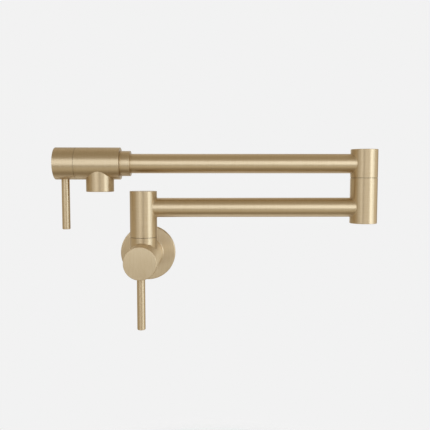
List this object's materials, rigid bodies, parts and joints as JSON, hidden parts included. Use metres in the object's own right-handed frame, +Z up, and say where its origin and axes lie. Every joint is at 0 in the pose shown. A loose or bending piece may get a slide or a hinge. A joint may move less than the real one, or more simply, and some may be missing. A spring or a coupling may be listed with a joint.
{
  "type": "wall mounted pot filler",
  "caption": "Wall mounted folding tap for filling pots: a double swing arm on a wall rose, with a quarter-turn lever valve at the wall and another at the spout.",
  "frame": {"origin": "centre of the supply nipple in the plane of the finished wall", "axes": "+X along the wall, from the post towards the elbow at rest; +Y into the wall, along the supply nipple; +Z up, along both swivel axes"},
  "size_m": [0.3339, 0.1059, 0.1831],
  "materials": {
    "satin_brass": "satin brushed brass-coloured PVD finish over turned brass",
    "raw_brass": "machined brass, unplated",
    "rubber": "black moulded rubber",
    "ceramic": "lapped alumina",
    "acetal": "dark bearing plastic",
    "aerator_plastic": "pale moulded plastic",
    "stainless": "stainless spring steel"
  },
  "bodies": {
    "base": {"wall_flange": "satin_brass", "wall_gasket": "rubber", "supply_nipple": "raw_brass", "base_valve_body": "satin_brass", "base_cartridge_housing": "raw_brass", "base_shoulder_o_ring": "rubber", "base_seat_seal": "rubber", "base_fixed_disc": "ceramic", "base_retaining_nut": "raw_brass", "base_spindle": "raw_brass", "base_spindle_o_rings": "rubber", "base_swivel_washer": "acetal", "base_thrust_washer": "acetal", "base_circlip": "stainless"},
    "base_handle": {"base_stem": "raw_brass", "base_stem_o_ring": "rubber", "base_turning_disc": "ceramic", "base_handle_hub": "satin_brass", "base_lever": "satin_brass", "base_grub_screw": "stainless"},
    "arm_1": {"base_post": "satin_brass", "post_cap": "satin_brass", "arm_1_tube": "satin_brass", "elbow_lower": "satin_brass", "elbow_cap": "satin_brass"},
    "arm_2": {"elbow_upper": "satin_brass", "elbow_spindle": "raw_brass", "elbow_spindle_o_rings": "rubber", "elbow_swivel_washer": "acetal", "elbow_thrust_washer": "acetal", "elbow_circlip": "stainless", "arm_2_tube": "satin_brass", "arm_end_fitting": "satin_brass", "spout_valve_body": "satin_brass", "spout_nozzle": "satin_brass", "aerator_washer": "rubber", "aerator_insert": "aerator_plastic", "aerator_housing": "satin_brass", "spout_cartridge_housing": "raw_brass", "spout_shoulder_o_ring": "rubber", "spout_seat_seal": "rubber", "spout_fixed_disc": "ceramic", "spout_retaining_nut": "raw_brass"},
    "spout_handle": {"spout_stem": "raw_brass", "spout_stem_o_ring": "rubber", "spout_turning_disc": "ceramic", "spout_handle_hub": "satin_brass", "spout_lever": "satin_brass", "spout_grub_screw": "stainless"}
  },
  "joints": [
    {"name": "base_handle_turn", "type": "hinge", "parent": "base", "child": "base_handle", "pos_m": [0, -0.07, 0], "axis": [0, -1, 0], "range_deg": [0, 90]},
    {"name": "base_swivel", "type": "hinge", "parent": "base", "child": "arm_1", "pos_m": [0, -0.048, 0.0225], "axis": [0, 0, -1], "range_deg": [-5, 185]},
    {"name": "elbow_swivel", "type": "hinge", "parent": "arm_1", "child": "arm_2", "pos_m": [0.23, -0.048, 0.0839], "axis": [0, 0, 1], "continuous": true},
    {"name": "spout_handle_turn", "type": "hinge", "parent": "arm_2", "child": "spout_handle", "pos_m": [-0.075, -0.048, 0.0987], "axis": [-1, 0, 0], "range_deg": [0, 90]}
  ]
}
